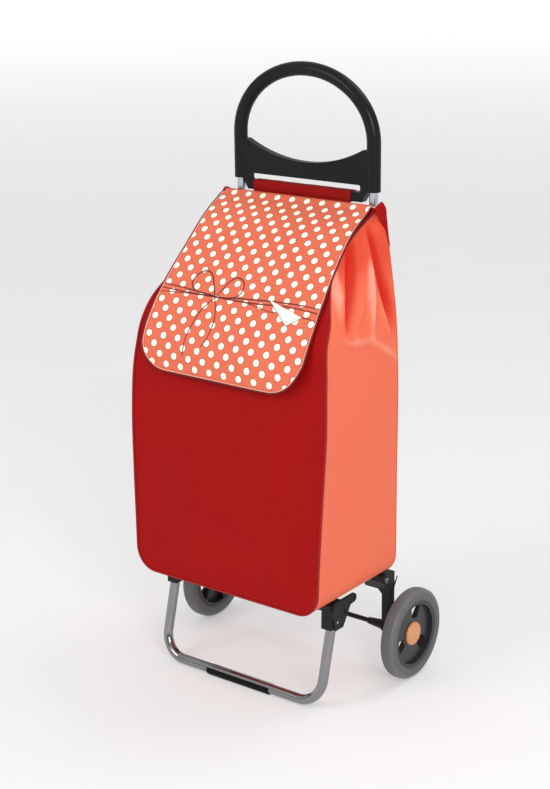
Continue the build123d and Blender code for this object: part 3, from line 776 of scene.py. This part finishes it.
def flap_surface(x, run, lift=0.0):
    """Point of the flap's outer face at x across and run down from the hinge: the profile's point,
    lifted along its normal by the flap's lie. It stands higher at the right shoulder than at the
    left, and waves a little."""
    x, run = np.broadcast_arrays(np.asarray(x, float), np.asarray(run, float))
    y, z = flap_profile(run)
    step = 3.0
    (y0, z0), (y1, z1) = flap_profile(run - step), flap_profile(run + step)
    dy, dz = y1 - y0, z1 - z0
    size = np.hypot(dy, dz)
    shoulder = ease(run, 20, 90) * (1 - ease(run, 110, 200))
    across = x / FLAP_HALF
    lie = shoulder * (0.4 * across + 1.6)
    lie = lie + ease(run, 200, FLAP_LENGTH) * (1.2 * np.sin(across * 3.1 + 0.5) + 1.0)
    lie = lie + lift
    return np.stack([x, y + dz / size * lie, z - dy / size * lie], -1)


def flap_rows():
    """Distances from the hinge, close together where the hem's corners turn."""
    turn = np.linspace(0, math.pi / 2, 44)
    bend = FLAP_LENGTH - HEM_CORNER_RIGHT + HEM_CORNER_RIGHT * np.sin(turn)
    return np.r_[np.linspace(0, FLAP_LENGTH - HEM_CORNER_RIGHT, 100)[:-1], bend]


def flap_sheet():
    """The flap: one sheet on a grid of share across and distance down, narrowing round its hem
    corners."""
    run = flap_rows()[:, None]
    left = flap_edge(run, FLAP_LEFT, HEM_CORNER_LEFT)
    right = flap_edge(run, FLAP_RIGHT, HEM_CORNER_RIGHT)
    share = np.linspace(0, 1, 110)[None]
    x = left * (1 - share) + right * share
    points = flap_surface(x, run + 0 * x)
    uv = np.stack([x, run + 0 * x], -1)
    piece = cloth_grid("flap_cloth", points, uv, FLAP_INSIDE, FLAP_THICK)
    dress(piece, PRINT)
    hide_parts("flap", "flap_piping")
    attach(piece, "flap")
    return piece


def flap_border(inset, start=8.0):
    """(x, run) round the flap's free edge, inset from it, from the left of the hinge round to the
    right."""
    halves = []
    for side, corner in ((FLAP_LEFT, HEM_CORNER_LEFT), (FLAP_RIGHT, HEM_CORNER_RIGHT)):
        low = FLAP_LENGTH - corner
        run = np.linspace(start, low, 70)
        down = np.stack([np.abs(hermite(*zip(*side), run)) - inset, run], 1)
        turn = np.linspace(0, math.pi / 2, 24)[1:]
        edge, r = down[-1, 0] + inset - corner, corner - inset
        arc = np.stack([edge + r * np.cos(turn), low + r * np.sin(turn)], 1)
        halves.append(np.concatenate([down, arc]))
    left, right = halves
    hem = np.linspace(-left[-1, 0], right[-1, 0], 40)[1:-1]
    floor = np.stack([hem, np.full(len(hem), FLAP_LENGTH - inset)], 1)
    return np.concatenate([left * (-1, 1), floor, right[::-1]])


def flap_trim():
    """Maroon piping round the flap's free edge, with a thin pale cord beside it that is a painted
    highlight along the edge.
    """
    border = flap_border(0.2)
    piping = tube_piece("flap_edge_piping", flap_surface(border[:, 0], border[:, 1], -0.4), 1.5, 10)
    dress(piping, MAROON)
    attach(piping, "flap")
    inner = flap_border(2.2)
    # painted highlight: a thin pale cord laid along the flap's edge where a highlight runs
    edge_highlight = tube_piece("flap_edge_highlight", flap_surface(inner[:, 0], inner[:, 1], -0.1), 0.75, 8)
    dress(edge_highlight, PAINTED_EDGE_HIGHLIGHT)
    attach(edge_highlight, "flap")
    return [piping, edge_highlight]


def printed_stroke(name, line, width, finish, lift=0.16, count=70):
    """A printed line: a narrow ribbon that lies on the flap, half its width to each side of a
    smooth path."""
    path = smooth_path(line, count)
    ahead = np.gradient(path, axis=0)
    ahead /= np.linalg.norm(ahead, axis=1)[:, None]
    side = np.stack([-ahead[:, 1], ahead[:, 0]], 1)
    share = np.linspace(0, 1, count)
    half = 0.5 * width * (0.75 + 0.25 * np.sin(share * math.pi))[:, None]
    across = path[:, None] + np.array([-1.0, 0.0, 1.0])[None, :, None] * (half * side)[:, None]
    points = flap_surface(across[..., 0], across[..., 1], lift)
    piece = cloth_grid(name, points, across, FLAP_INSIDE, INK)
    dress(piece, finish)
    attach(piece, "flap")
    return piece


# the printed twine: (points (x, distance from the hinge), width)
STROKES = {
    "twine_1": (
        ((-153.5, 203), (-120, 204.6), (-80, 208), (-47, 211.6), (0, 207.6), (60, 203.5),
         (110, 202), (145.5, 203.3)), 2.4),
    "twine_2": (
        ((-154.5, 210), (-110, 211.5), (-47, 211.8), (20, 212), (90, 208), (145.5, 210.4)), 2.4),
    "twine_3": (((-155, 216.6), (-105, 213.5), (-47, 211.8), (15, 213), (55, 219.5), (70, 221)), 1.5),
    "twine_4": (((119, 221), (134, 221.2), (146, 222.8)), 1.5),
    "bow_left": (
        ((-47, 212), (-55, 209.8), (-72, 208.7), (-90, 206), (-100.5, 196), (-99, 184),
         (-91, 174.5), (-80, 171.2), (-70, 176), (-60, 190), (-51, 206), (-47, 213)), 2.5),
    "bow_right": (
        ((-47, 212), (-40.5, 199.4), (-33, 185), (-22, 175.4), (-9.5, 177.5), (-2, 188),
         (-3, 199), (-10, 206.2), (-24, 210.2)), 2.3),
    "tail_left": (
        ((-47, 212), (-57, 225), (-67, 242), (-72.5, 262.6), (-77, 284.6), (-76.5, 312.6)), 1.8),
    "tail_right": (
        ((-48, 212), (-39.5, 229), (-34, 246), (-33.5, 264), (-37, 281), (-44, 293)), 1.8),
}
# the printed tag's corners: (x, distance from the hinge)
TAG = ((53.0, 201.8), (98.0, 237.6), (120.5, 220.9))


def printed_tag():
    """The plain paper tag in the print: a triangle whose grid runs from one corner out to the far
    side."""
    a, b, c = (np.array(p) for p in TAG)
    s, t = np.meshgrid(np.linspace(0.02, 1, 24), np.linspace(0, 1, 18), indexing="ij")
    flat = a + s[..., None] * ((b - a) * (1 - t[..., None]) + (c - a) * t[..., None])
    points = flap_surface(flat[..., 0], flat[..., 1], 0.3)
    tag = cloth_grid("tag_print", points, flat, FLAP_INSIDE, INK)
    dress(tag, TAG_INK)
    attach(tag, "flap")
    rim = printed_stroke("tag_print_edge", [a, (a + b) / 2, b], 0.9, TAG_EDGE, 0.4, 24)
    rim_low = printed_stroke("tag_print_edge_low", [b, (b + c) / 2, c], 0.7, TAG_EDGE, 0.4, 16)
    return [tag, rim, rim_low]


def flap_print_pieces():
    """The twine with its bow, and the tag."""
    made = [printed_stroke(name, line, width, TWINE_INK) for name, (line, width) in STROKES.items()]
    return made + printed_tag()


# ---- sleeve


def sleeve():
    """The cloth sleeve round the handle's lower bar: a rounded section carried across, with a tail
    at the front that hangs behind the flap. The section breathes a little along the bar and steps
    in at the middle seam."""
    x = np.linspace(*SLEEVE_X, 120)
    corners = ((1, 1, 0), (1, -1, -90), (-1, -1, 180), (-1, 1, 90))
    ring = []
    for side, end, start in corners:
        a = np.radians(start + np.linspace(90, 0, 6))
        y = side * SLEEVE_HALF_Y - side * SLEEVE_CORNER + SLEEVE_CORNER * np.cos(a)
        z = SLEEVE_HIGH if end > 0 else SLEEVE_LOW
        ring.append(np.stack([y, z - end * SLEEVE_CORNER + SLEEVE_CORNER * np.sin(a)], 1))
    ring = np.concatenate(ring)
    centre = np.array([0.0, SLEEVE_MID])
    swell = 1 + 0.012 * np.sin(x / 13) + 0.010 * np.sin(x / 5.1)
    swell = swell - 0.045 * np.exp(-((x - 2) / 1.1) ** 2)
    section = centre + (ring - centre)[None] * swell[:, None, None]
    along = np.broadcast_to(x[:, None, None], (*section.shape[:2], 1))
    points = np.concatenate([along, section], -1)
    run = np.r_[0, np.cumsum(np.linalg.norm(np.diff(ring, axis=0), axis=1))]
    uv = np.stack(np.broadcast_arrays(x[:, None], run[None]), -1)
    piece = cloth_grid("bar_sleeve", points, uv, (0, 0, SLEEVE_MID), THIN_CLOTH, around=True)
    dress(piece, SLEEVE)
    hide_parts("hanging_sleeve")
    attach(piece, "frame")
    z = np.linspace(TAIL_HIGH, TAIL_LOW, 24)[:, None]
    sway = 0.5 * np.sin(x / 11)[None] * (TAIL_HIGH - z) / (TAIL_HIGH - TAIL_LOW)
    points = np.stack(np.broadcast_arrays(x[None], -7.6 + sway, z), -1)
    uv = np.stack(np.broadcast_arrays(x[None], z), -1)
    tail = cloth_grid("sleeve_tail", points, uv, (0, 60, 750), THIN_CLOTH)
    dress(tail, SLEEVE)
    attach(tail, "frame")


# ---- sewing


def stitches(name, points, normals, length=2.6, gap=1.4, radius=0.28):
    """Short threads lying in a row: each is a small six-sided spindle between two neighbouring
    spots."""
    run = np.r_[0, np.cumsum(np.linalg.norm(np.diff(points, axis=0), axis=1))]
    starts = np.arange(0, run[-1] - length, length + gap)
    spots, out = (
        np.stack([np.interp(at, run, values[:, c]) for c in range(3)], -1)
        for at, values in (
            (starts[:, None] + np.array([0.0, 0.5, 1.0]) * length, points),
            (starts + length / 2, normals),
        )
    )
    along = spots[:, 2] - spots[:, 0]
    along /= np.linalg.norm(along, axis=1)[:, None]
    side = np.cross(along, out)
    turn = np.linspace(0, 2 * math.pi, 6, endpoint=False)
    ring = np.cos(turn)[None, :, None] * side[:, None] + np.sin(turn)[None, :, None] * out[:, None]
    fat = np.array([0.35, 1.0, 0.35])
    rings = spots[:, :, None] + radius * fat[None, :, None, None] * ring[:, None]
    base = grid_faces(3, 6, around=True)
    caps = [np.arange(6)[::-1], np.arange(12, 18)]
    faces = []
    for k in range(len(starts)):
        faces += (base + 18 * k).tolist() + [(cap + 18 * k).tolist() for cap in caps]
    return mesh_piece(name, to_row(rings.reshape(-1, 3)), faces)


def flap_stitching():
    """A row of stitches inside the flap's edge."""
    border = flap_border(5.0, 20.0)
    at = flap_surface(border[:, 0], border[:, 1], 0.1)
    out = flap_surface(border[:, 0], border[:, 1], 1.1) - at
    piece = stitches("flap_stitches", at, out)
    dress(piece, THREAD)
    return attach(piece, "flap")


def panel_stitching():
    """A row of stitches inside the front panel's piping."""
    path = seam_path(FRONT_TOP - 4, 90, lambda z: bag_front(z) - 0.15, 6.0)
    out = np.tile((0.0, -1.0, 0.0), (len(path), 1))
    piece = stitches("front_stitches", path, out, radius=0.25)
    dress(piece, THREAD)
    return folding(piece)


# ---- surroundings


def studio():
    """A wide pale floor under a soft sky. The floor glows faintly, more so far away, and meets a
    bright horizon. Above that the sky has a dark band, which black plastic and chrome mirror, and
    then turns bright."""
    reach = np.r_[0.0, np.geomspace(0.5, 60.0, 24)][:, None]
    turn = np.linspace(0, 2 * math.pi, 65)[None]
    points = np.stack(np.broadcast_arrays(reach * np.cos(turn), reach * np.sin(turn), 0.0), -1)
    floor = mesh_piece("studio_floor", points.reshape(-1, 3), grid_faces(*points.shape[:2]).tolist())
    f = Finish("studio_paper", Specular_IOR_Level=0.05, Emission_Color=(1, 1, 1, 1))
    patch = f.noise(f.place(), 3.0, 2.0)
    size = f.node("ShaderNodeVectorMath", f.place(), operation="LENGTH")
    far = f.node("ShaderNodeMapRange", size.outputs["Value"], interpolation_type="SMOOTHSTEP")
    for socket, value in (("From Min", 1.0), ("From Max", 14.0), ("To Min", 0.32), ("To Max", 0.62)):
        far.inputs[socket].default_value = value
    colour = f.blend(patch, (0.54, 0.54, 0.54), (0.56, 0.56, 0.56))
    material = f.wire(colour, f.between(patch, 0.7, 0.8))
    f.tree.links.new(far.outputs[0], f.shader.inputs["Emission Strength"])
    floor.data.materials.append(material)
    world = bpy.data.worlds.new("studio_sky")
    bpy.context.scene.world = world
    world.use_nodes = True
    tree = world.node_tree
    height = tree.nodes.new("ShaderNodeSeparateXYZ")
    tree.links.new(tree.nodes.new("ShaderNodeTexCoord").outputs["Generated"], height.inputs[0])
    ramp = tree.nodes.new("ShaderNodeValToRGB")
    tree.links.new(height.outputs[2], ramp.inputs[0])
    stops = ramp.color_ramp.elements
    stops[0].position, stops[1].position = SKY[0][0], SKY[-1][0]
    for position, _ in SKY[1:-1]:
        stops.new(position)
    for stop, (_, tone) in zip(stops, SKY):
        stop.color = (tone, tone, tone, 1)
    tree.links.new(ramp.outputs[0], tree.nodes["Background"].inputs[0])
    tree.nodes["Background"].inputs[1].default_value = SKY_STRENGTH


def soft_light(name, place, target, size, power):
    """A square area light that faces the target, in the row frame's metres and in watts."""
    lamp = bpy.data.lights.new(name, "AREA")
    lamp.shape, lamp.size, lamp.energy = "SQUARE", size, power
    stand = bpy.data.objects.new(name, lamp)
    stand.location = place
    stand.rotation_euler = (Vector(target) - Vector(place)).to_track_quat("-Z", "Y").to_euler()
    bpy.context.scene.collection.objects.link(stand)


def camera():
    """The camera: it looks from the right front, a little above, and is turned very slightly about
    its axis."""
    azimuth, height, roll = (math.radians(a) for a in CAMERA_TURN)
    back = np.array([
        math.sin(azimuth) * math.cos(height), -math.cos(azimuth) * math.cos(height), math.sin(height)
    ])
    right = np.cross(-back, (0, 0, 1))
    right /= np.linalg.norm(right)
    up = np.cross(right, -back)
    c, s = math.cos(roll), math.sin(roll)
    right, up = c * right + s * up, c * up - s * right
    turn = np.eye(4)
    turn[:3, 0], turn[:3, 1], turn[:3, 2] = right, up, back
    turn[:3, 3] = CAMERA_PLACE
    lens = bpy.data.cameras.new("camera")
    lens.lens, lens.sensor_width = CAMERA_LENS, CAMERA_SENSOR
    holder = bpy.data.objects.new("camera", lens)
    holder.matrix_world = Matrix(turn.tolist())
    bpy.context.scene.collection.objects.link(holder)
    bpy.context.scene.camera = holder


bpy.context.scene.view_settings.view_transform = "Standard"
camera()
finish_cad_nodes()
gusset()
front_panel()
back_panel()
bag_trim()
corner_hood("corner_hood_right", RIGHT_HOOD)
corner_hood("corner_hood_left", LEFT_HOOD)
trim = flap_trim()
prints = flap_print_pieces()
seam = flap_stitching()
flap_sheet()
panel_stitching()
sleeve()
studio()
soft_light("key_light", (-1.2, -3.0, 2.4), (0, 0, 0.5), 1.4, 34)
soft_light("side_light", (2.3, -1.9, 1.9), (0, 0, 0.5), 1.2, 44)
soft_light("top_light", (0.8, 1.2, 3.0), (0, 0, 0.4), 1.4, 16)
